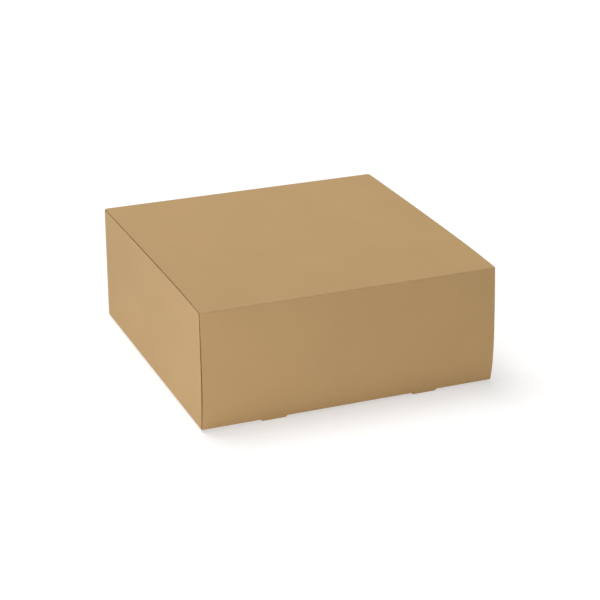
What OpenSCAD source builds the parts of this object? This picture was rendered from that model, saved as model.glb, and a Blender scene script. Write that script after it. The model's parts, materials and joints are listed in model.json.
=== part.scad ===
// Square gift box folded from one sheet of micro-flute board: a tray with its corners glued inside,
// a top panel hinged on the rear fold, and a front flap that hangs from the top panel over the
// tray's front and locks with two tongues. The front is toward -Y, and Z = 0 is the tongues' tips.

/* [Box] */
// Width over the side walls
box_w = 310; // [200:5:400]
// Depth of the top panel over its two folds
box_d = 310; // [200:5:400]
// Height of the top panel's upper face at its folds
box_h = 124.5; // [80:0.5:180]
// Thickness of the board
board_t = 1.2; // [0.9:0.1:1.5]
// Radius inside the tray's bottom folds
fold_r = 0.4; // [0.2:0.1:1]

/* [Bulge] */
// How far the front flap bulges in front of its top fold
flap_bow = 3.9; // [0:0.1:6]
// How far the tray's front bulges behind the flap
tray_bow = 2.8; // [0:0.1:4]
// Share of the height, from the top, where both bulge most
bow_at = 0.63; // [0.4:0.01:0.75]
// How far the flap's lower edge tucks in behind its top fold
flap_tuck = 0.3; // [0:0.1:0.4]
// How far the top panel rises between its folds
lid_rise = 1.7; // [0:0.1:3]
// How far the side walls' top edges rise under it
wall_rise = 1.3; // [0:0.1:3]
// Share of the depth, from the rear, where both are highest
rise_at = 0.72; // [0.3:0.01:0.8]

/* [Tongues] */
// Width of a tongue at its root
tongue_w = 28; // [15:1:40]
// Distance between the middles of the two tongues
tongue_spacing = 161; // [80:1:180]
// Height of the flap's lower edge above the tongues' tips
tongue_drop = 2.2; // [1.5:0.1:3]
// Slant of a tongue from upright, toward the rear
tongue_lean = 20; // [0:1:30]
// Taper at each end of a tongue
tongue_taper = 2; // [0:0.5:4]

/* [Tray] */
// Height of the tray's underside above the tongues' tips
base_z = 0.9; // [0.5:0.1:1.2]
// Width of the four glued corner tabs
glue_tab_w = 26; // [15:1:40]
// Slope cut from each end of a glued corner tab
glue_tab_taper = 6; // [2:1:10]
// Gap left at each glued tab's ends
glue_tab_gap = 2; // [1:0.5:5]
// Height of the two slits across the front bottom fold
slit_h = 3; // [2:0.5:5]
// How far the slits run back into the bottom panel
slit_depth = 3; // [2:0.5:5]

/* [Clearances] */
// Gap between the flap and the tray at the top
front_gap = 1.2; // [0.5:0.1:2]
// Gap between the top panel and the side walls at the folds
lid_gap = 0.3; // [0.3:0.1:1]
// Gap round each crease that turns
crease_gap = 0.3; // [0.2:0.05:0.5]
// Gap at each end of a tongue in its slit
slit_gap = 0.8; // [0.5:0.1:1.5]
// Radius on the rear corners of the top panel
corner_r = 3; // [1:0.5:6]

/* [Hidden] */

// Planes of the front and rear folds, with the whole box centred on Y
front_y = -(box_d - flap_bow) / 2;
rear_y = front_y + box_d;

// The two crease axes run along X at the inner corner of each fold
crease_z = box_h - board_t;
front_crease_y = front_y + board_t;
rear_crease_y = rear_y - board_t;

wall_top = crease_z - lid_gap;
wall_front_y = front_crease_y + front_gap;
outer_fold_r = fold_r + board_t;

// Steps along a bulge and round a fold
BOW_STEPS = 24;
FOLD_STEPS = 6;
// Powers that shape the bulge above and below its highest point
BOW_ABOVE = 1.5;
BOW_BELOW = 2.5;
// How far each crease's bead wraps round past its own panel
BEAD_WRAP = 135;
$fn = 48;

// Share of the full bulge at share t of the way down
function above(t) = 1 - pow((bow_at - t) / bow_at, BOW_ABOVE);
function below(t) = 1 - pow((t - bow_at) / (1 - bow_at), BOW_BELOW);
function down_share(z) = (crease_z - z) / (crease_z - tongue_drop);
function bulge(z, full, tuck) =
    let (t = max(0, min(1, down_share(z))))
    t < bow_at ? full * above(t) : full - (full + tuck) * (1 - below(t));

// Share of the full rise at share s of the way from the rear crease to the front one
function crown(s) =
    let (side = s < rise_at ? rise_at : 1 - rise_at)
    1 - pow((s - rise_at) / side, 2);

// Points of a risen edge from the rear crease to the front one
function risen_edge(low, rise) = [
    for (i = [0 : BOW_STEPS])
        let (s = i / BOW_STEPS)
        [rear_crease_y + s * (front_crease_y - rear_crease_y), low + rise * crown(s)]
];

// Point on a circle in the Y-Z plane, at an angle from +Y toward +Z
function on_circle(y, z, r, angle) = [y + r * cos(angle), z + r * sin(angle)];

// Outline of the tray seen from the side, inset by the board's thickness for its inside
function front_edge(inset, low) = [
    for (i = [0 : BOW_STEPS])
        let (z = wall_top + (low - wall_top) * i / BOW_STEPS)
        [wall_front_y - bulge(z, tray_bow, 0) + inset, z]
];
function tray_outline(inset, r) =
    let (low = base_z + inset + r, crest = risen_edge(wall_top, wall_rise))
    concat(
        front_edge(inset, low),
        [for (i = [1 : FOLD_STEPS])
            on_circle(wall_front_y + inset + r, low, r, 180 + 90 * i / FOLD_STEPS)],
        [for (i = [0 : FOLD_STEPS])
            on_circle(rear_y - inset - r, low, r, -90 + 90 * i / FOLD_STEPS)],
        [[rear_y - inset, wall_top]],
        [for (i = [1 : BOW_STEPS - 1]) crest[i]]
    );

// Turns a Y-Z outline into a solid that runs along X, centred
module along_x(length) {
    rotate([90, 0, 90])
        linear_extrude(height = length, center = true)
            children();
}

// Turns an X-Z outline into a solid that runs along Y, well past both ends of the box
module along_y() {
    rotate([90, 0, 0])
        linear_extrude(height = 2 * box_d, center = true)
            children();
}

// Wall-to-wall section of the tray with round bottom folds, open past the top
module u_section(inset, r) {
    half_w = box_w / 2 - inset;
    low = base_z + inset;
    difference() {
        translate([-half_w, low])
            square([2 * half_w, 2 * box_h]);
        for (side = [-1, 1])
            translate([side * half_w, low])
                square(2 * r, center = true);
    }
    for (side = [-1, 1])
        translate([side * (half_w - r), low + r])
            circle(r);
}

module tray_body(inset, r, outline) {
    intersection() {
        along_y() u_section(inset, r);
        along_x(box_w) polygon(outline);
    }
}

// The inside is cut out past the top of the walls
module tray_inside() {
    inner = tray_outline(board_t, fold_r);
    rim_y = inner[0].x;
    rim_cut = 2 * (board_t + wall_rise);
    tray_body(board_t, fold_r, inner);
    translate([0, (rim_y + rear_y - board_t) / 2, wall_top])
        cube([box_w - 2 * board_t, rear_y - board_t - rim_y, rim_cut], center = true);
}

// Outside of the round bead on a crease axis, from angle a0 to angle a1
function bead_arc(y, a0, a1) =
    let (steps = 3 * FOLD_STEPS)
    [for (i = [0 : steps]) on_circle(y, crease_z, board_t, a0 + (a1 - a0) * i / steps)];

// Room round a crease axis for the bead and its gap
module crease_room(y) {
    translate([0, y, crease_z])
        rotate([0, 90, 0])
            cylinder(r = board_t + crease_gap, h = 2 * box_w, center = true);
}

// Corner tab folded from a front or rear wall and glued inside a side wall, seen from the side
module glue_tab(y, toward) {
    low = base_z + board_t + glue_tab_gap;
    high = wall_top - glue_tab_gap;
    polygon([
        [y, low],
        [y + toward * glue_tab_w, low + glue_tab_taper],
        [y + toward * glue_tab_w, high - glue_tab_taper],
        [y, high]
    ]);
}

module glue_tabs() {
    for (side = [-1, 1])
        translate([side * (box_w / 2 - 1.5 * board_t), 0, 0])
            along_x(board_t) {
                glue_tab(wall_front_y + board_t / 2, 1);
                glue_tab(rear_y - board_t / 2, -1);
            }
}

// Slits across the front bottom fold that take the tongues
module slits() {
    slit_w = tongue_w + 2 * slit_gap;
    for (side = [-1, 1])
        translate([side * tongue_spacing / 2 - slit_w / 2, front_y - board_t, 0])
            cube([slit_w, wall_front_y + slit_depth - front_y + board_t, base_z + slit_h]);
}

// Top of the rear wall above the side walls, with the bead that the top panel turns round
module rear_crease() {
    along_x(box_w - 2 * corner_r) {
        translate([rear_crease_y, wall_top - board_t])
            square([board_t, lid_gap + board_t]);
        polygon(concat([[rear_crease_y, crease_z]], bead_arc(rear_crease_y, 0, BEAD_WRAP)));
    }
}

module tray() {
    color("#BE9F73") {
        difference() {
            tray_body(0, outer_fold_r, tray_outline(0, outer_fold_r));
            tray_inside();
            slits();
        }
        difference() {
            glue_tabs();
            slits();
        }
        rear_crease();
    }
}

// Side view of the top panel, from the front crease to the rear one
module lid_section() {
    under = risen_edge(crease_z, lid_rise);
    over = [for (i = [BOW_STEPS - 1 : -1 : 0]) [under[i].x, under[i].y + board_t]];
    polygon(concat(under, bead_arc(front_crease_y, 90 + BEAD_WRAP, 90), over));
}

// Plan of the top panel, with its rear corners rounded
module lid_plan() {
    front_len = box_d - corner_r;
    translate([-box_w / 2, front_y - box_d])
        square([box_w, front_len + box_d]);
    translate([corner_r - box_w / 2, front_y])
        square([box_w - 2 * corner_r, box_d]);
    for (side = [-1, 1])
        translate([side * (box_w / 2 - corner_r), rear_y - corner_r])
            circle(corner_r);
}

module lid() {
    color("#BB9B6F")
        difference() {
            intersection() {
                along_x(box_w) lid_section();
                linear_extrude(height = 2 * box_h) lid_plan();
            }
            crease_room(rear_crease_y);
        }
}

// Side view of the bulging flap, from its crease to its lower edge
module flap_section() {
    heights = [for (i = [0 : BOW_STEPS]) crease_z + (tongue_drop - crease_z) * i / BOW_STEPS];
    outer = [for (z = heights) [front_y - bulge(z, flap_bow, flap_tuck), z]];
    inner = [for (i = [BOW_STEPS : -1 : 0]) [outer[i].x + board_t, outer[i].y]];
    polygon(concat(outer, inner));
}

// Side view of a tongue that runs on from the flap's lower edge
module tongue_section() {
    root_y = front_y + flap_tuck;
    tip_y = root_y + tongue_drop * tan(tongue_lean);
    polygon([
        [root_y, tongue_drop],
        [tip_y, 0],
        [tip_y + board_t, 0],
        [root_y + board_t, tongue_drop]
    ]);
}

module tongue() {
    half_w = tongue_w / 2;
    intersection() {
        along_x(tongue_w) tongue_section();
        along_y() polygon([
            [-half_w, tongue_drop],
            [tongue_taper - half_w, 0],
            [half_w - tongue_taper, 0],
            [half_w, tongue_drop]
        ]);
    }
}

module front_flap() {
    color("#AF8E63")
        difference() {
            union() {
                along_x(box_w) flap_section();
                for (side = [-1, 1])
                    translate([side * tongue_spacing / 2, 0, 0])
                        tongue();
            }
            crease_room(front_crease_y);
        }
}

tray();
lid();
front_flap();
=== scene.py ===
"""Dresses a folded kraft gift box: board panels with liners, flutes and cut edges, and a soft studio."""

import json
import math

import bmesh
import bpy
import numpy as np
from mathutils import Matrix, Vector


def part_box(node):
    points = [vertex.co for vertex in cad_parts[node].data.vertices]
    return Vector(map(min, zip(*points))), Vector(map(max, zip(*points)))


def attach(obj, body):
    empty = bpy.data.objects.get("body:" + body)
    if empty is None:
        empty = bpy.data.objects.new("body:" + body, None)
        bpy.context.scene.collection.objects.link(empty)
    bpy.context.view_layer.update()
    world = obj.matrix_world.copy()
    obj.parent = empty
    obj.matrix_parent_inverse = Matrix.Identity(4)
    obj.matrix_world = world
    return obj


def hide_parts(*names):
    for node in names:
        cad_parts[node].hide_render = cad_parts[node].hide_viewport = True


bl_info = {
    "name": "Kraft Gift Box",
    "version": (1, 0, 0),
    "blender": (4, 5, 0),
    "location": "View3D > Sidebar > Gift Box",
    "description": "Makes the board panels of a square gift box and a pale studio round it",
    "category": "Object",
}

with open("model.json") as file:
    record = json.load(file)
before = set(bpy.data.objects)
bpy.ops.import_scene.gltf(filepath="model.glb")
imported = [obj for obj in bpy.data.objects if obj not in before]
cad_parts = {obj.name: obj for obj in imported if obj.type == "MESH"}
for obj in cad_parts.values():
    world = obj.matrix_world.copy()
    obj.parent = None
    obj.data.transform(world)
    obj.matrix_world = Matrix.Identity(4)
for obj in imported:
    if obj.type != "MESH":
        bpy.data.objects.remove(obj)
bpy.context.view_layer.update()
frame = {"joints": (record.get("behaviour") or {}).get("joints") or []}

MM = 0.001

TRAY_LOW, TRAY_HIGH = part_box("tray")
LID_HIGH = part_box("lid")[1]
FLAP_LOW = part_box("front_flap")[0]
JOINTS = {joint["name"]: joint for joint in frame["joints"]}
REAR_CREASE = Vector(JOINTS["lid_hinge"]["pos_m"])
FRONT_CREASE = Vector(JOINTS["front_flap_fold"]["pos_m"])
WIDE_OPEN = math.radians(JOINTS["lid_hinge"]["range_deg"][1])

# The box as the frame gives it
HALF_W = TRAY_HIGH.x
REAR_Y = TRAY_HIGH.y
BASE_Z = TRAY_LOW.z
CREASE_Z = REAR_CREASE.z
BOARD_T = REAR_Y - REAR_CREASE.y
FRONT_Y = FRONT_CREASE.y - BOARD_T
FLAP_BOW = FRONT_Y - FLAP_LOW.y
LID_RISE = LID_HIGH.z - CREASE_Z - BOARD_T

# Sizes that the frame does not state
FRONT_GAP = 1.2 * MM
LID_GAP = 0.3 * MM
WALL_RISE = 1.3 * MM
CREASE_ROOM = BOARD_T + 0.1 * MM
FOLD_R = 0.4 * MM
OUTER_FOLD_R = FOLD_R + BOARD_T
TONGUE_DROP = 2.2 * MM
TONGUE_LEAN = math.radians(20)
TONGUE_W = 28 * MM
TONGUE_SPACING = 161 * MM
TONGUE_TAPER = 2 * MM
FLAP_TUCK = 0.3 * MM
GLUE_TAB_W = 26 * MM
GLUE_TAB_TAPER = 6 * MM
GLUE_TAB_GAP = 2 * MM
SLIT_GAP = 0.8 * MM
SLIT_W = TONGUE_W + 2 * SLIT_GAP
SLIT_H = 3 * MM
SLIT_DEPTH = 3 * MM
CORNER_R = 3 * MM

WALL_TOP = CREASE_Z - LID_GAP
WALL_FRONT_Y = FRONT_CREASE.y + FRONT_GAP
TRAY_BOW = WALL_FRONT_Y - TRAY_LOW.y

# Share of the height, from the top, where the front bulges most, and the powers that shape the bulge
# above and below that
BOW_AT = 0.63
BOW_ABOVE = 1.5
BOW_BELOW = 2.5

# Share of the depth, from the rear, where the top panel and the side walls rise most
RISE_AT = 0.72

# How far round its crease each bead runs, in degrees, and the radius inside it
BEAD_TURN = 135
BEAD_INNER_R = 0.05 * BOARD_T

# How far from a fold its paler colour fades, partly cracked crease and partly a painted highlight, and
# the steps round a bead to where it is palest
WEAR_AND_HIGHLIGHT_REACH = 0.9 * MM
BEAD_PALEST_AT = 4

# Steps along each stretch of board, and across it
WALL_STEPS = 30
BASE_STEPS = 24
REAR_STEPS = 20
LID_STEPS = 60
FLAP_STEPS = 56
TONGUE_STEPS = 3
FOLD_STEPS = 6
SIDE_FOLD_STEPS = 8
TRAY_BEAD_STEPS = 10
LID_BEAD_STEPS = 12
PANEL_COLUMNS = 64
SIDE_COLUMNS = 48
FLAP_COLUMNS = 72
FLAP_ROWS = 58
BESIDE_SLIT_COLUMNS = 12
BETWEEN_SLITS_COLUMNS = 28
GLUE_TAB_COLUMNS = 6
GLUE_TAB_ROWS = 12

# The core paper at a cut edge: half its thickness as a share of the board's, how far it stands back
# as a share of the cut, and its points along each flute
CORE_HALF = 0.06
CORE_SET_BACK = 0.1
CORE_POINTS = 10

# Depth of the cut at the flap's sides as a share of the full cut depth
FLAP_SIDE_CUT = 2 / 3

# Vertices nearer than this are joined, and edges bent more than this are kept sharp
WELD = 0.001 * MM
SHARP = math.radians(32)

# Where the side walls, glued tabs and lid were cut from the board, so that their patterns differ
SIDE_WALL_CUT = 0.4
GLUE_TAB_CUT = 0.7
LID_CUT = 0.2

# How often each pattern of the paper repeats in a metre: across, along and through the board
CLOUDS = (16, 11, 1)
FIBRES_ALONG = (2600, 420, 1)
FIBRES_ACROSS = (520, 2300, 1)
SPECKS = (900, 420, 1)
FUZZ = (3000, 3000, 4)

# The floor's half side, and the distances over which it fades to the backdrop's white
FLOOR_HALF = 8.0
FLOOR_NEAR = 0.9
FLOOR_FAR = 3.0
FLOOR_GREY = 0.9
WHITE = (1, 1, 1, 1)


class BoardLook(bpy.types.PropertyGroup):
    """Colours and make-up of the board."""

    liner: bpy.props.FloatVectorProperty(
        name="Liner",
        description="Colour of the kraft liner",
        subtype="COLOR",
        size=3,
        min=0,
        max=1,
        default=(0.500, 0.325, 0.148),
    )
    fibre: bpy.props.FloatVectorProperty(
        name="Fibre",
        description="Colour of the pale fibres in the liner",
        subtype="COLOR",
        size=3,
        min=0,
        max=1,
        default=(0.600, 0.425, 0.235),
    )
    speck: bpy.props.FloatVectorProperty(
        name="Speck",
        description="Colour of the dark specks in the liner",
        subtype="COLOR",
        size=3,
        min=0,
        max=1,
        default=(0.300, 0.175, 0.080),
    )
    core: bpy.props.FloatVectorProperty(
        name="Core",
        description="Colour of the fluted paper between the liners",
        subtype="COLOR",
        size=3,
        min=0,
        max=1,
        default=(0.360, 0.225, 0.110),
    )
    flute_pitch: bpy.props.FloatProperty(
        name="Flute Pitch",
        description="Distance from one flute to the next",
        unit="LENGTH",
        default=2.4 * MM,
    )
    liner_share: bpy.props.FloatProperty(
        name="Liner Share",
        description="Share of the board's thickness that each liner takes",
        subtype="FACTOR",
        min=0.05,
        max=0.3,
        default=0.18,
    )
    cut_depth: bpy.props.FloatProperty(
        name="Cut Depth",
        description="How far the core can be seen into at a cut edge",
        unit="LENGTH",
        default=1.5 * MM,
    )
    trim_depth: bpy.props.FloatProperty(
        name="Trim Depth",
        description="How far the core is set back at an edge that runs along its flutes",
        unit="LENGTH",
        default=0.15 * MM,
    )
    rib_height: bpy.props.FloatProperty(
        name="Rib Height",
        description="Height of the faint ribs that the flutes print through the liner",
        unit="LENGTH",
        default=0.012 * MM,
    )


class StudioLook(bpy.types.PropertyGroup):
    """Camera, lamps and floor."""

    azimuth: bpy.props.FloatProperty(
        name="Azimuth",
        description="Angle of the camera from straight in front, toward the right",
        subtype="ANGLE",
        unit="ROTATION",
        default=math.radians(-21.985),
    )
    elevation: bpy.props.FloatProperty(
        name="Elevation",
        description="Angle of the camera above the floor",
        subtype="ANGLE",
        unit="ROTATION",
        default=math.radians(22.611),
    )
    distance: bpy.props.FloatProperty(
        name="Distance",
        description="Distance from the camera to the point it looks at",
        unit="LENGTH",
        default=1.95,
    )
    aim: bpy.props.FloatVectorProperty(
        name="Aim",
        description="Point that the camera looks at",
        subtype="TRANSLATION",
        unit="LENGTH",
        size=3,
        default=(-3.2 * MM, -28.1 * MM, 65.7 * MM),
    )
    lens: bpy.props.FloatProperty(
        name="Lens",
        description="Focal length on a 36 mm sensor, in millimetres",
        default=113.51,
    )
    sky: bpy.props.FloatProperty(
        name="Sky",
        description="Strength of the even light from all round",
        default=0.2,
    )
    left_power: bpy.props.FloatProperty(
        name="Left Power",
        description="Power of the low soft lamp on the left",
        unit="POWER",
        default=2.1,
    )
    left_size: bpy.props.FloatProperty(
        name="Left Size",
        description="Side of the low soft lamp on the left",
        unit="LENGTH",
        default=0.45,
    )
    left_place: bpy.props.FloatVectorProperty(
        name="Left Place",
        description="Middle of the low soft lamp on the left",
        subtype="TRANSLATION",
        unit="LENGTH",
        size=3,
        default=(-1.5, 0.2, 0.25),
    )
    left_tint: bpy.props.FloatVectorProperty(
        name="Left Tint",
        description="Colour of the low soft lamp on the left",
        subtype="COLOR",
        size=3,
        default=(0.86, 1.0, 1.17),
    )
    corner_power: bpy.props.FloatProperty(
        name="Corner Power",
        description="Power of the soft lamp off the front left corner",
        unit="POWER",
        default=5.1,
    )
    corner_size: bpy.props.FloatProperty(
        name="Corner Size",
        description="Side of the soft lamp off the front left corner",
        unit="LENGTH",
        default=0.34,
    )
    corner_place: bpy.props.FloatVectorProperty(
        name="Corner Place",
        description="Middle of the soft lamp off the front left corner",
        subtype="TRANSLATION",
        unit="LENGTH",
        size=3,
        default=(-0.85, -1.0, 0.14),
    )
    corner_tint: bpy.props.FloatVectorProperty(
        name="Corner Tint",
        description="Colour of the soft lamp off the front left corner",
        subtype="COLOR",
        size=3,
        default=(1.0, 0.965, 0.93),
    )
    back_power: bpy.props.FloatProperty(
        name="Back Power",
        description="Power of the soft lamp above and behind the box",
        unit="POWER",
        default=160.0,
    )
    back_size: bpy.props.FloatProperty(
        name="Back Size",
        description="Side of the soft lamp above and behind the box",
        unit="LENGTH",
        default=2.6,
    )
    back_place: bpy.props.FloatVectorProperty(
        name="Back Place",
        description="Middle of the soft lamp above and behind the box",
        subtype="TRANSLATION",
        unit="LENGTH",
        size=3,
        default=(-0.6, 1.1, 4.4),
    )
    back_tint: bpy.props.FloatVectorProperty(
        name="Back Tint",
        description="Colour of the soft lamp above and behind the box",
        subtype="COLOR",
        size=3,
        default=(1.0, 1.0, 1.0),
    )
    floor_glow: bpy.props.FloatProperty(
        name="Floor Glow",
        description="Light that the floor gives off upward, as a light table does",
        default=0.25,
    )
    floor_lift: bpy.props.FloatProperty(
        name="Floor Lift",
        description="White added to the floor as the camera sees it, so that it meets the backdrop",
        default=0.54,
    )
    floor_shade: bpy.props.FloatProperty(
        name="Floor Shade",
        description="How strongly the camera sees shadows on the floor",
        subtype="FACTOR",
        default=0.56,
    )


def bulge(z, full, tuck):
    """How far the front stands forward of its fold at height z."""
    share = min(max((CREASE_Z - z) / (CREASE_Z - TONGUE_DROP), 0.0), 1.0)
    if share < BOW_AT:
        return full * (1 - ((BOW_AT - share) / BOW_AT) ** BOW_ABOVE)
    return full - (full + tuck) * ((share - BOW_AT) / (1 - BOW_AT)) ** BOW_BELOW


def crown(y):
    """Share of the full rise of the top panel and the side walls at y, 0 at the two creases."""
    share = min(max((REAR_CREASE.y - y) / (REAR_CREASE.y - FRONT_CREASE.y), 0.0), 1.0)
    side = RISE_AT if share < RISE_AT else 1 - RISE_AT
    return 1 - ((share - RISE_AT) / side) ** 2


def past_crease(distance):
    """How far a board starts from a crease, at a distance from the crease's axis across the board."""
    return math.sqrt(max(0.0, CREASE_ROOM**2 - distance**2))


def past_rear_crease(distance):
    """The same for the top panel, which also has to clear the rear wall when it is wide open."""
    if distance < CREASE_ROOM * math.sin(WIDE_OPEN):
        return past_crease(distance)
    return (distance * math.sin(WIDE_OPEN) - CREASE_ROOM) / math.cos(WIDE_OPEN)


def arc(centre, radius, start, end, steps):
    """Points on a circle from one angle to another, in degrees from the first axis."""
    points = []
    for i in range(steps + 1):
        angle = math.radians(start + (end - start) * i / steps)
        points.append((centre[0] + radius * math.cos(angle), centre[1] + radius * math.sin(angle)))
    return points


def line(start, end, steps):
    """Points along a straight line, without its last one."""
    return [
        (start[0] + (end[0] - start[0]) * i / steps, start[1] + (end[1] - start[1]) * i / steps)
        for i in range(steps)
    ]


class Section:
    """A stretch of board seen edge on: its outer and inner liner, point by point."""

    def __init__(self, outer, inner, folds=()):
        self.outer = np.array(outer)
        self.inner = np.array(inner)
        middle = (self.outer + self.inner) / 2
        steps = np.linalg.norm(np.diff(middle, axis=0), axis=1)
        run = np.concatenate([[0], np.cumsum(steps)])
        self.length = run[-1]
        self.shares = run / self.length
        self.folds = [run[i] for i in folds]

    def at(self, share, depth):
        """Point at a share of the length, depth 0 on the outer liner and 1 on the inner."""
        outer = [np.interp(share, self.shares, self.outer[:, k]) for k in (0, 1)]
        inner = [np.interp(share, self.shares, self.inner[:, k]) for k in (0, 1)]
        return [o + (i - o) * depth for o, i in zip(outer, inner)]

    def wear(self, share):
        """1 on a fold, falling to 0 a little way off: how strongly the fold is painted paler, as cracked
        crease and a painted highlight.
        """
        gaps = [abs(share * self.length - fold) / WEAR_AND_HIGHLIGHT_REACH for fold in self.folds]
        return max((math.exp(-gap * gap) for gap in gaps), default=0.0)


class Sheet:
    """One flat-cut piece of board, placed in the box by two shares and a depth."""

    def __init__(self, place, across, along, width, length, coords, wear=None):
        self.place = place
        self.across = across
        self.along = along
        self.width = width
        self.length = length
        self.coords = coords
        self.wear = wear or (lambda a, b: 0.0)


def ring_of(columns, rows):
    """Grid places round the rim of a sheet, in order."""
    ring = [(i, 0) for i in range(columns)]
    ring += [(columns - 1, j) for j in range(1, rows)]
    ring += [(i, rows - 1) for i in range(columns - 2, -1, -1)]
    ring += [(0, j) for j in range(rows - 2, 0, -1)]
    return ring


def add_sheet(bm, sheet, cuts, look):
    """Adds a closed sheet. cuts gives how far the core is set back at its left, right, start and end."""
    board = bm.verts.layers.float_vector["board"]
    wear = bm.verts.layers.float["wear"]
    columns, rows = len(sheet.across), len(sheet.along)
    made = []

    def vertex(a, b, depth):
        v = bm.verts.new(sheet.place(a, b, depth))
        v[board] = sheet.coords(a, b, depth)
        v[wear] = sheet.wear(a, b)
        made.append(v)
        return v

    grids = []
    for depth in (0.0, 1.0):
        grids.append([[vertex(a, b, depth) for b in sheet.along] for a in sheet.across])
    faces = []

    def quad(corners, material):
        face = bm.faces.new(corners)
        face.material_index = material
        face.smooth = True
        faces.append(face)

    for grid in grids:
        for i in range(columns - 1):
            for j in range(rows - 1):
                quad((grid[i][j], grid[i + 1][j], grid[i + 1][j + 1], grid[i][j + 1]), 0)

    left, right = cuts[0] / sheet.width, 1 - cuts[1] / sheet.width
    start, end = cuts[2] / sheet.length, 1 - cuts[3] / sheet.length
    ring = ring_of(columns, rows)
    thin, thick = look.liner_share, 1 - look.liner_share

    def rim(depth, inset):
        loop = []
        for i, j in ring:
            a, b = sheet.across[i], sheet.along[j]
            if inset:
                a, b = min(max(a, left), right), min(max(b, start), end)
            loop.append(vertex(a, b, depth))
        return loop

    loops = [
        [grids[0][i][j] for i, j in ring],
        rim(thin, False),
        rim(thin, True),
        rim(thick, True),
        rim(thick, False),
        [grids[1][i][j] for i, j in ring],
    ]
    for near, far in zip(loops, loops[1:]):
        for k in range(len(ring)):
            m = (k + 1) % len(ring)
            quad((near[k], near[m], far[m], far[k]), 1)
    bmesh.ops.remove_doubles(bm, verts=made, dist=WELD)
    bmesh.ops.recalc_face_normals(bm, faces=[f for f in faces if f.is_valid])


def add_flutes(bm, sheet, edge, look):
    """Adds the wave of core paper that shows at a sheet's cut edge: left, right, start or end."""
    board = bm.verts.layers.float_vector["board"]
    upright = edge in ("left", "right")
    run = sheet.length if upright else sheet.width
    reach = look.cut_depth / (sheet.width if upright else sheet.length)
    set_back = CORE_SET_BACK * reach
    waves = max(1, round(run / look.flute_pitch))
    samples = CORE_POINTS * waves
    swing = 0.5 - look.liner_share - CORE_HALF
    faces = []

    def point(share, inward, depth):
        near = {"left": inward, "start": inward, "right": 1 - inward, "end": 1 - inward}[edge]
        a, b = (near, share) if upright else (share, near)
        v = bm.verts.new(sheet.place(a, b, depth))
        v[board] = sheet.coords(a, b, depth)
        return v

    def quad(corners):
        face = bm.faces.new(corners)
        face.material_index = 1
        face.smooth = True
        faces.append(face)

    before = None
    for k in range(samples + 1):
        share = k / samples
        middle = 0.5 + swing * math.sin(2 * math.pi * waves * share)
        ribbon = [
            point(share, set_back, middle - CORE_HALF),
            point(share, set_back, middle + CORE_HALF),
            point(share, reach, middle + CORE_HALF),
            point(share, reach, middle - CORE_HALF),
        ]
        if before is None or k == samples:
            quad(ribbon)
        if before is not None:
            for m in range(4):
                n = (m + 1) % 4
                quad((before[m], before[n], ribbon[n], ribbon[m]))
        before = ribbon
    bmesh.ops.recalc_face_normals(bm, faces=faces)


def spread(count, marks=()):
    """Shares from 0 to 1 in even steps, with the marks in place of the steps next to them."""
    shares = {round(i / count, 6) for i in range(count + 1)}
    kept = [s for s in shares if all(abs(s - m) > 0.2 / count for m in marks)]
    return sorted([*kept, *marks])


def new_board_mesh():
    """An empty mesh that keeps each point's place on the board and how pale it is painted at folds, as
    cracked crease and a painted highlight.
    """
    bm = bmesh.new()
    bm.verts.layers.float_vector.new("board")
    bm.verts.layers.float.new("wear")
    return bm


def finish_piece(bm, name, node, look):
    """Turns the mesh into a piece that stands for its node and moves with it."""
    mesh = bpy.data.meshes.new(name)
    bm.to_mesh(mesh)
    bm.free()
    mesh.set_sharp_from_angle(angle=SHARP)
    mesh.materials.append(liner_material(look))
    mesh.materials.append(core_material(look))
    piece = bpy.data.objects.new(name, mesh)
    bpy.context.scene.collection.objects.link(piece)
    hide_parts(node)
    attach(piece, node)
    return piece


def tray_strip():
    """Front wall, bottom and rear wall, with the bead that the top panel turns round."""
    sections = []
    for inset, r, bead_r in ((0, OUTER_FOLD_R, BOARD_T), (BOARD_T, FOLD_R, BEAD_INNER_R)):
        low = BASE_Z + inset
        bend_z = low + r
        points = []
        for i in range(WALL_STEPS):
            z = WALL_TOP + (bend_z - WALL_TOP) * i / WALL_STEPS
            points.append((WALL_FRONT_Y - bulge(z, TRAY_BOW, 0) + inset, z))
        front, rear = WALL_FRONT_Y + inset + r, REAR_Y - inset - r
        folds = [len(points) + FOLD_STEPS // 2]
        points += arc((front, bend_z), r, 180, 270, FOLD_STEPS)
        points += line((front, low), (rear, low), BASE_STEPS)[1:]
        folds.append(len(points) + FOLD_STEPS // 2)
        points += arc((rear, bend_z), r, -90, 0, FOLD_STEPS)
        points += line((rear + r, bend_z), (rear + r, CREASE_Z), REAR_STEPS)[1:]
        folds.append(len(points) + BEAD_PALEST_AT)
        points += arc((REAR_CREASE.y, CREASE_Z), bead_r, 0, BEAD_TURN, TRAY_BEAD_STEPS)
        sections.append(points)
    return Section(sections[0], sections[1], folds)


def slit_shares(section):
    """Shares of the strip's length where the slits start and end."""
    near = section.shares[np.argmin(np.abs(section.outer[:, 1] - BASE_Z - SLIT_H))]
    far = near + (SLIT_H + SLIT_DEPTH) / section.length
    return near, far


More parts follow.
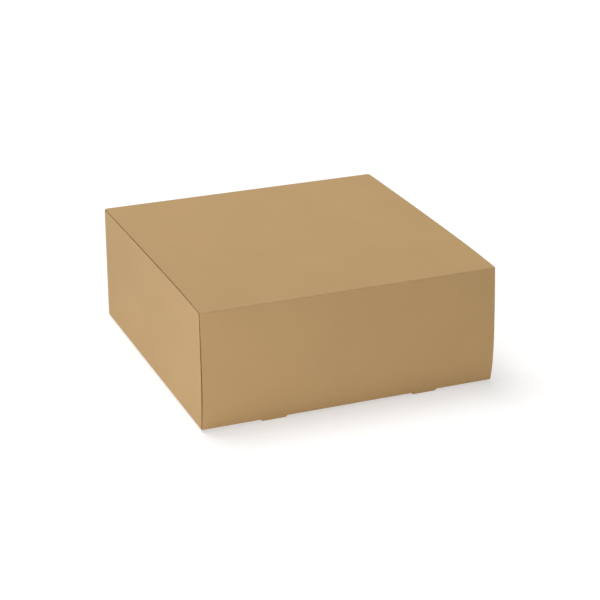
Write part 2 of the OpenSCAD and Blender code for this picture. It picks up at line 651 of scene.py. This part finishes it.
def tray_sheets():
    """The strip in pieces round its two slits, each with the edge that its flutes show at, if any."""
    section = tray_strip()
    wall_half = HALF_W - BOARD_T
    base_half = HALF_W - OUTER_FOLD_R

    def strip(low_x, high_x, start, end, count):
        """A stretch of the strip between two places across it and two along it."""

        def place(a, b, depth):
            share = start + (end - start) * b
            y, z = section.at(share, depth)
            half = wall_half if z > BASE_Z + OUTER_FOLD_R else base_half
            x = min(max(low_x + (high_x - low_x) * a, -half), half)
            return (x, y, z)

        def coords(a, b, depth):
            return (low_x + (high_x - low_x) * a, (start + (end - start) * b) * section.length, depth)

        inside = [s for s in section.shares if start + 1e-4 < s < end - 1e-4]
        along = [(s - start) / (end - start) for s in [start, *inside, end]]
        return Sheet(
            place,
            spread(count),
            along,
            high_x - low_x,
            (end - start) * section.length,
            coords,
            lambda a, b: section.wear(start + (end - start) * b),
        )

    near, far = slit_shares(section)
    slit_in = TONGUE_SPACING / 2 - SLIT_W / 2
    slit_out = TONGUE_SPACING / 2 + SLIT_W / 2
    return [
        (strip(-wall_half, wall_half, 0, near, PANEL_COLUMNS), "start"),
        (strip(-wall_half, wall_half, far, 1, PANEL_COLUMNS), None),
        (strip(-wall_half, -slit_out, near, far, BESIDE_SLIT_COLUMNS), None),
        (strip(-slit_in, slit_in, near, far, BETWEEN_SLITS_COLUMNS), None),
        (strip(slit_out, wall_half, near, far, BESIDE_SLIT_COLUMNS), None),
    ]


def side_wall(side):
    """A side wall with its bottom fold. Its flutes run level, so they show at its front and rear."""
    bend_z = BASE_Z + OUTER_FOLD_R
    liners = []
    for x, r in ((HALF_W, OUTER_FOLD_R), (HALF_W - BOARD_T, FOLD_R)):
        fold = arc((HALF_W - OUTER_FOLD_R, bend_z), r, -90, 0, SIDE_FOLD_STEPS)
        wall = line((x, bend_z), (x, WALL_TOP), WALL_STEPS)[1:]
        liners.append([*fold, *wall, (x, WALL_TOP)])
    section = Section(liners[0], liners[1], [SIDE_FOLD_STEPS // 2])

    def place(a, b, depth):
        x, z = section.at(b, depth)
        drop = max(0.0, bend_z - z)
        tuck = OUTER_FOLD_R - math.sqrt(max(0.0, OUTER_FOLD_R**2 - drop**2))
        front = WALL_FRONT_Y - bulge(z, TRAY_BOW, 0) + tuck
        rear = REAR_Y - tuck
        y = front + (rear - front) * a
        return (side * x, y, z + WALL_RISE * crown(y) * (z - BASE_Z) / (WALL_TOP - BASE_Z))

    depth_y = REAR_Y - WALL_FRONT_Y

    def coords(a, b, depth):
        return (SIDE_WALL_CUT + b * section.length, a * depth_y, depth)

    return Sheet(
        place, spread(SIDE_COLUMNS), list(section.shares), depth_y, section.length, coords,
        lambda a, b: section.wear(b),
    )


def glue_tab(side, toward):
    """A corner tab glued inside a side wall, from the front wall or the rear one."""
    root = WALL_FRONT_Y - 0.5 * TRAY_BOW + BOARD_T if toward > 0 else REAR_Y - BOARD_T
    low = BASE_Z + BOARD_T + GLUE_TAB_GAP
    high = WALL_TOP - GLUE_TAB_GAP

    def place(a, b, depth):
        taper = GLUE_TAB_TAPER * a
        z = low + taper + (high - low - 2 * taper) * b
        x = HALF_W - BOARD_T * (1 + depth)
        return (side * x, root + toward * GLUE_TAB_W * a, z)

    def coords(a, b, depth):
        return (GLUE_TAB_CUT + GLUE_TAB_W * a, b * (high - low), depth)

    columns, rows = spread(GLUE_TAB_COLUMNS), spread(GLUE_TAB_ROWS)
    return Sheet(place, columns, rows, GLUE_TAB_W, high - low, coords)


def lid_sheet():
    """Top panel from the rear crease to the bead of the front one."""
    start = REAR_CREASE.y - past_rear_crease(BOARD_T)
    liners = []
    for lift, bead_r in ((BOARD_T, BOARD_T), (0, BEAD_INNER_R)):
        points = []
        for i in range(LID_STEPS + 1):
            y = start + (FRONT_CREASE.y - start) * i / LID_STEPS
            points.append((y, CREASE_Z + lift + LID_RISE * crown(y)))
        bead = arc((FRONT_CREASE.y, CREASE_Z), bead_r, 90, 90 + BEAD_TURN, LID_BEAD_STEPS)
        liners.append(points + bead[1:])
    section = Section(liners[0], liners[1], [LID_STEPS + BEAD_PALEST_AT])

    def place(a, b, depth):
        y, z = section.at(b, depth)
        y = min(y, REAR_CREASE.y - past_rear_crease(z - CREASE_Z))
        short = max(0.0, CORNER_R - (REAR_Y - y))
        half = HALF_W - (CORNER_R - math.sqrt(max(0.0, CORNER_R**2 - short**2)))
        return (half * (2 * a - 1), y, z)

    def coords(a, b, depth):
        return (HALF_W * (2 * a - 1), LID_CUT + b * section.length, depth)

    return Sheet(
        place, spread(PANEL_COLUMNS), list(section.shares), 2 * HALF_W, section.length, coords,
        lambda a, b: section.wear(b),
    )


def flap_sheet():
    """Bulging front flap, with two tongues running on from its lower edge."""
    start = CREASE_Z - past_crease(BOARD_T)
    lean = TONGUE_DROP * math.tan(TONGUE_LEAN)
    liners = []
    for inset in (0, BOARD_T):
        points = []
        for i in range(FLAP_STEPS + 1):
            z = start + (TONGUE_DROP - start) * i / FLAP_STEPS
            points.append((FRONT_Y - bulge(z, FLAP_BOW, FLAP_TUCK) + inset, z))
        for i in range(1, TONGUE_STEPS + 1):
            down = i / TONGUE_STEPS
            points.append((FRONT_Y + FLAP_TUCK + inset + lean * down, TONGUE_DROP * (1 - down)))
        liners.append(points)
    section = Section(liners[0], liners[1], [0])
    edge_share = section.shares[FLAP_STEPS]

    def tongue_share(x):
        """1 on a tongue, 0 off it, and a slope over its tapered ends."""
        off = abs(abs(x) - TONGUE_SPACING / 2) - (TONGUE_W / 2 - TONGUE_TAPER)
        return min(max(1 - off / TONGUE_TAPER, 0.0), 1.0)

    def place(a, b, depth):
        x = HALF_W * (2 * a - 1)
        share = b * (edge_share + (1 - edge_share) * tongue_share(x))
        y, z = section.at(share, depth)
        return (x, y, min(z, CREASE_Z - past_crease(FRONT_CREASE.y - y)))

    def coords(a, b, depth):
        return (HALF_W * (2 * a - 1), b * section.length, depth)

    marks = []
    for side in (-1, 1):
        for half in (TONGUE_W / 2, TONGUE_W / 2 - TONGUE_TAPER):
            for end in (-1, 1):
                marks.append(0.5 + (side * TONGUE_SPACING / 2 + end * half) / (2 * HALF_W))
    columns, rows = spread(FLAP_COLUMNS, marks), spread(FLAP_ROWS)
    return Sheet(
        place, columns, rows, 2 * HALF_W, section.length, coords,
        lambda a, b: section.wear(b),
    )


def feed(tree, socket, value):
    """Links a socket to another one, or sets its value."""
    if isinstance(value, bpy.types.NodeSocket):
        tree.links.new(value, socket)
    else:
        socket.default_value = value


def node(tree, kind, **inputs):
    """Adds a shader node and feeds its inputs by name."""
    made = tree.nodes.new(kind)
    for name, value in inputs.items():
        feed(tree, made.inputs[name.replace("_", " ")], value)
    return made


def math_node(tree, operation, first, second=None, clamp=False):
    """The result of a Math node whose inputs are sockets or numbers."""
    made = tree.nodes.new("ShaderNodeMath")
    made.operation = operation
    made.use_clamp = clamp
    feed(tree, made.inputs[0], first)
    if second is not None:
        feed(tree, made.inputs[1], second)
    return made.outputs[0]


def mix_colour(tree, factor, first, second):
    """A colour Mix node. Colours are tuples or sockets, and factor is a socket or a number."""
    made = tree.nodes.new("ShaderNodeMix")
    made.data_type = "RGBA"
    slots = (made.inputs[0], made.inputs[6], made.inputs[7])
    for slot, value in zip(slots, (factor, first, second)):
        feed(tree, slot, (*value, 1) if isinstance(value, tuple) else value)
    return made.outputs[2]


def stretched(tree, source, scale, turn=0.0):
    """The board's own coordinates, scaled and turned."""
    made = node(tree, "ShaderNodeMapping", Vector=source, Scale=scale, Rotation=(0, 0, turn))
    return made.outputs[0]


def noise(tree, vector, detail=2.0, rough=0.5):
    """A noise texture's value along a vector."""
    made = node(
        tree, "ShaderNodeTexNoise", Vector=vector, Scale=1.0, Detail=detail, Roughness=rough
    )
    return made.outputs[0]


def ramp(tree, value, low, high):
    """Maps a value from low and high to 0 and 1, clamped and eased."""
    made = node(tree, "ShaderNodeMapRange", Value=value, From_Min=low, From_Max=high)
    made.interpolation_type = "SMOOTHSTEP"
    return made.outputs[0]


def bumped(tree, strength, distance, height):
    """The normal that a height gives the surface."""
    made = node(tree, "ShaderNodeBump", Strength=strength, Distance=distance, Height=height)
    return made.outputs[0]


def attribute(tree, name, output):
    """A value that the mesh keeps for each point."""
    made = tree.nodes.new("ShaderNodeAttribute")
    made.attribute_name = name
    return made.outputs[output]


def shaded(colour, factor):
    """A colour made darker or lighter."""
    return tuple(c * factor for c in colour)


def paper_fibres(tree, board):
    """Fine crossing fibres of the liner, about 0.5, with most of them along the board."""
    lengthwise = noise(tree, stretched(tree, board, FIBRES_ALONG), 3.0, 0.6)
    crosswise = noise(tree, stretched(tree, board, FIBRES_ACROSS, 0.5), 3.0, 0.6)
    return math_node(tree, "ADD", math_node(tree, "MULTIPLY", lengthwise, 0.6),
                     math_node(tree, "MULTIPLY", crosswise, 0.4))


def liner_material(look):
    """Uncoated kraft liner: cloudy, fibrous, with faint ribs and folds painted paler, partly as cracked
    crease and partly as a painted highlight.
    """
    if "kraft_liner" in bpy.data.materials:
        return bpy.data.materials["kraft_liner"]
    material = bpy.data.materials.new("kraft_liner")
    material.use_nodes = True
    tree = material.node_tree
    shader = tree.nodes["Principled BSDF"]
    board = attribute(tree, "board", "Vector")
    wear = attribute(tree, "wear", "Fac")
    clouds = noise(tree, stretched(tree, board, CLOUDS), 4.0, 0.55)
    fibres = paper_fibres(tree, board)
    specks = noise(tree, stretched(tree, board, SPECKS, 0.3), 1.0, 0.4)

    cloudy = ramp(tree, clouds, 0.3, 0.7)
    colour = mix_colour(tree, cloudy, shaded(look.liner, 0.985), shaded(look.liner, 1.015))
    pale = math_node(tree, "MULTIPLY", ramp(tree, fibres, 0.52, 0.7), 0.30)
    colour = mix_colour(tree, pale, colour, tuple(look.fibre))
    dark = math_node(tree, "MULTIPLY", ramp(tree, specks, 0.70, 0.78), 0.35)
    colour = mix_colour(tree, dark, colour, tuple(look.speck))
    # Folds painted paler toward the fibre colour: partly cracked crease, partly a painted highlight
    # along the fold.
    raised = math_node(tree, "ADD", fibres, -0.4)
    worn_and_highlit = math_node(tree, "MULTIPLY", wear, raised, clamp=True)
    colour = mix_colour(tree, worn_and_highlit, colour, tuple(look.fibre))
    feed(tree, shader.inputs["Base Color"], colour)

    rough = math_node(tree, "ADD", math_node(tree, "MULTIPLY", fibres, 0.2), 0.70)
    feed(tree, shader.inputs["Roughness"], rough)
    feed(tree, shader.inputs["Specular IOR Level"], 0.25)

    across = node(tree, "ShaderNodeSeparateXYZ", Vector=board).outputs[0]
    turns = math_node(tree, "MULTIPLY", across, 2 * math.pi / look.flute_pitch)
    ribs = math_node(tree, "MULTIPLY", math_node(tree, "SINE", turns), 0.5 * look.rib_height / MM)
    grain = math_node(tree, "MULTIPLY", fibres, 0.03)
    height = math_node(tree, "ADD", ribs, grain)
    feed(tree, shader.inputs["Normal"], bumped(tree, 1.0, MM, height))
    return material


def core_material(look):
    """Rough fluting paper and the torn edges of the liners."""
    if "kraft_core" in bpy.data.materials:
        return bpy.data.materials["kraft_core"]
    material = bpy.data.materials.new("kraft_core")
    material.use_nodes = True
    tree = material.node_tree
    shader = tree.nodes["Principled BSDF"]
    board = attribute(tree, "board", "Vector")
    fuzz = noise(tree, stretched(tree, board, FUZZ), 3.0, 0.6)
    colour = mix_colour(tree, fuzz, shaded(look.core, 0.8), shaded(look.core, 1.25))
    feed(tree, shader.inputs["Base Color"], colour)
    feed(tree, shader.inputs["Roughness"], 0.92)
    feed(tree, shader.inputs["Specular IOR Level"], 0.15)
    feed(tree, shader.inputs["Normal"], bumped(tree, 0.6, 0.05 * MM, fuzz))
    return material


def seen_by_eye(tree):
    """1 for what the camera sees, straight or in a mirror or through glass."""
    path = tree.nodes.new("ShaderNodeLightPath")
    seen = math_node(tree, "ADD", path.outputs["Is Camera Ray"], path.outputs["Is Glossy Ray"])
    return math_node(tree, "ADD", seen, path.outputs["Is Transmission Ray"], clamp=True)


def floor_material(studio):
    """White floor that reads as the backdrop but keeps the box's soft shadow."""
    material = bpy.data.materials.new("studio_floor")
    material.use_nodes = True
    tree = material.node_tree
    tree.nodes.clear()

    def glowing(grey, glow):
        """A matt grey that also gives off white light."""
        matt = node(tree, "ShaderNodeBsdfDiffuse", Color=(grey, grey, grey, 1))
        light = node(tree, "ShaderNodeEmission", Color=WHITE, Strength=glow)
        both = tree.nodes.new("ShaderNodeAddShader")
        feed(tree, both.inputs[0], matt.outputs[0])
        feed(tree, both.inputs[1], light.outputs[0])
        return both.outputs[0]

    place = tree.nodes.new("ShaderNodeNewGeometry").outputs["Position"]
    away = node(tree, "ShaderNodeVectorMath", Vector=place)
    away.operation = "LENGTH"
    far = ramp(tree, away.outputs["Value"], FLOOR_NEAR, FLOOR_FAR)
    added = math_node(tree, "MULTIPLY", far, 1 - studio.floor_lift)
    lift = math_node(tree, "ADD", added, studio.floor_lift)
    pick = tree.nodes.new("ShaderNodeMixShader")
    feed(tree, pick.inputs[0], seen_by_eye(tree))
    feed(tree, pick.inputs[1], glowing(FLOOR_GREY, studio.floor_glow))
    feed(tree, pick.inputs[2], glowing(studio.floor_shade, lift))
    node(tree, "ShaderNodeOutputMaterial", Surface=pick.outputs[0])
    return material


def make_floor(studio):
    """A wide flat floor at the height of the tongues' tips."""
    bm = bmesh.new()
    corners = ((-1, -1), (1, -1), (1, 1), (-1, 1))
    bm.faces.new([bm.verts.new((x * FLOOR_HALF, y * FLOOR_HALF, 0)) for x, y in corners])
    mesh = bpy.data.meshes.new("studio_floor")
    bm.to_mesh(mesh)
    bm.free()
    mesh.materials.append(floor_material(studio))
    floor = bpy.data.objects.new("studio_floor", mesh)
    bpy.context.scene.collection.objects.link(floor)


def make_sky(studio):
    """White to the eye, and even soft light for everything else."""
    world = bpy.data.worlds.new("studio_sky")
    bpy.context.scene.world = world
    world.use_nodes = True
    tree = world.node_tree
    tree.nodes.clear()
    glow = node(tree, "ShaderNodeBackground", Color=WHITE, Strength=studio.sky)
    white = node(tree, "ShaderNodeBackground", Color=WHITE, Strength=1.0)
    pick = tree.nodes.new("ShaderNodeMixShader")
    feed(tree, pick.inputs[0], seen_by_eye(tree))
    feed(tree, pick.inputs[1], glow.outputs[0])
    feed(tree, pick.inputs[2], white.outputs[0])
    node(tree, "ShaderNodeOutputWorld", Surface=pick.outputs[0])


def make_lamp(name, power, size, place, tint):
    """A square soft lamp that faces the box."""
    lamp = bpy.data.lights.new(name, "AREA")
    lamp.shape = "SQUARE"
    lamp.size = size
    lamp.energy = power
    lamp.color = tint
    holder = bpy.data.objects.new(name, lamp)
    holder.location = place
    aim = Vector((0, 0, CREASE_Z / 2)) - holder.location
    holder.rotation_mode = "QUATERNION"
    holder.rotation_quaternion = aim.to_track_quat("-Z", "Y")
    bpy.context.scene.collection.objects.link(holder)


def make_camera(studio):
    """The camera, turned to the point that it looks at."""
    camera = bpy.data.cameras.new("camera")
    camera.lens = studio.lens
    camera.sensor_width = 36
    camera.clip_start = 0.05
    camera.clip_end = 50
    holder = bpy.data.objects.new("camera", camera)
    level = math.cos(studio.elevation)
    back = Vector((
        math.sin(studio.azimuth) * level,
        -math.cos(studio.azimuth) * level,
        math.sin(studio.elevation),
    ))
    holder.location = Vector(studio.aim) + back * studio.distance
    holder.rotation_mode = "QUATERNION"
    holder.rotation_quaternion = (-back).to_track_quat("-Z", "Y")
    bpy.context.scene.collection.objects.link(holder)
    bpy.context.scene.camera = holder


class GIFTBOX_OT_tray(bpy.types.Operator):
    """Make the tray: bottom, four walls and glued corner tabs"""

    bl_idname = "giftbox.tray"
    bl_label = "Tray"

    def execute(self, context):
        look = context.scene.giftbox_board
        bm = new_board_mesh()
        deep, trim = look.cut_depth, look.trim_depth
        for sheet, edge in tray_sheets():
            add_sheet(bm, sheet, (0, 0, deep if edge else 0, 0), look)
            if edge:
                add_flutes(bm, sheet, edge, look)
        for side in (-1, 1):
            wall = side_wall(side)
            add_sheet(bm, wall, (deep, deep, 0, trim), look)
            add_flutes(bm, wall, "left", look)
            add_flutes(bm, wall, "right", look)
            for toward in (-1, 1):
                add_sheet(bm, glue_tab(side, toward), (0, trim, trim, trim), look)
        finish_piece(bm, "tray_board", "tray", look)
        return {"FINISHED"}


class GIFTBOX_OT_lid(bpy.types.Operator):
    """Make the top panel"""

    bl_idname = "giftbox.lid"
    bl_label = "Lid"

    def execute(self, context):
        look = context.scene.giftbox_board
        bm = new_board_mesh()
        trim = look.trim_depth
        add_sheet(bm, lid_sheet(), (trim, trim, 0, 0), look)
        finish_piece(bm, "lid_board", "lid", look)
        return {"FINISHED"}


class GIFTBOX_OT_front_flap(bpy.types.Operator):
    """Make the front flap with its two tongues"""

    bl_idname = "giftbox.front_flap"
    bl_label = "Front Flap"

    def execute(self, context):
        look = context.scene.giftbox_board
        bm = new_board_mesh()
        side_cut = look.cut_depth * FLAP_SIDE_CUT
        flap = flap_sheet()
        add_sheet(bm, flap, (side_cut, side_cut, 0, look.cut_depth), look)
        add_flutes(bm, flap, "end", look)
        finish_piece(bm, "front_flap_board", "front_flap", look)
        return {"FINISHED"}


class GIFTBOX_OT_stage(bpy.types.Operator):
    """Make the floor, the soft light and the camera"""

    bl_idname = "giftbox.stage"
    bl_label = "Stage"

    def execute(self, context):
        studio = context.scene.giftbox_studio
        context.scene.view_settings.view_transform = "Standard"
        make_camera(studio)
        make_floor(studio)
        make_sky(studio)
        for key in ("left", "corner", "back"):
            power, size, place, tint = (
                getattr(studio, f"{key}_{kind}") for kind in ("power", "size", "place", "tint")
            )
            make_lamp(f"{key}_lamp", power, size, place, tint)
        return {"FINISHED"}


OPERATORS = (GIFTBOX_OT_stage, GIFTBOX_OT_tray, GIFTBOX_OT_lid, GIFTBOX_OT_front_flap)


class GIFTBOX_PT_box(bpy.types.Panel):
    """Sizes, colours and steps of the gift box"""

    bl_idname = "GIFTBOX_PT_box"
    bl_label = "Gift Box"
    bl_space_type = "VIEW_3D"
    bl_region_type = "UI"
    bl_category = "Gift Box"

    def draw(self, context):
        layout = self.layout
        for group in (context.scene.giftbox_board, context.scene.giftbox_studio):
            column = layout.column()
            for name in group.__annotations__:
                column.prop(group, name)
        for operator in OPERATORS:
            layout.operator(operator.bl_idname)


CLASSES = (BoardLook, StudioLook, *OPERATORS, GIFTBOX_PT_box)


def register():
    for cls in CLASSES:
        bpy.utils.register_class(cls)
    bpy.types.Scene.giftbox_board = bpy.props.PointerProperty(type=BoardLook)
    bpy.types.Scene.giftbox_studio = bpy.props.PointerProperty(type=StudioLook)


def unregister():
    del bpy.types.Scene.giftbox_studio
    del bpy.types.Scene.giftbox_board
    for cls in reversed(CLASSES):
        bpy.utils.unregister_class(cls)


def main():
    register()
    bpy.ops.giftbox.stage()
    bpy.ops.giftbox.tray()
    bpy.ops.giftbox.lid()
    bpy.ops.giftbox.front_flap()


if __name__ == "__main__":
    main()
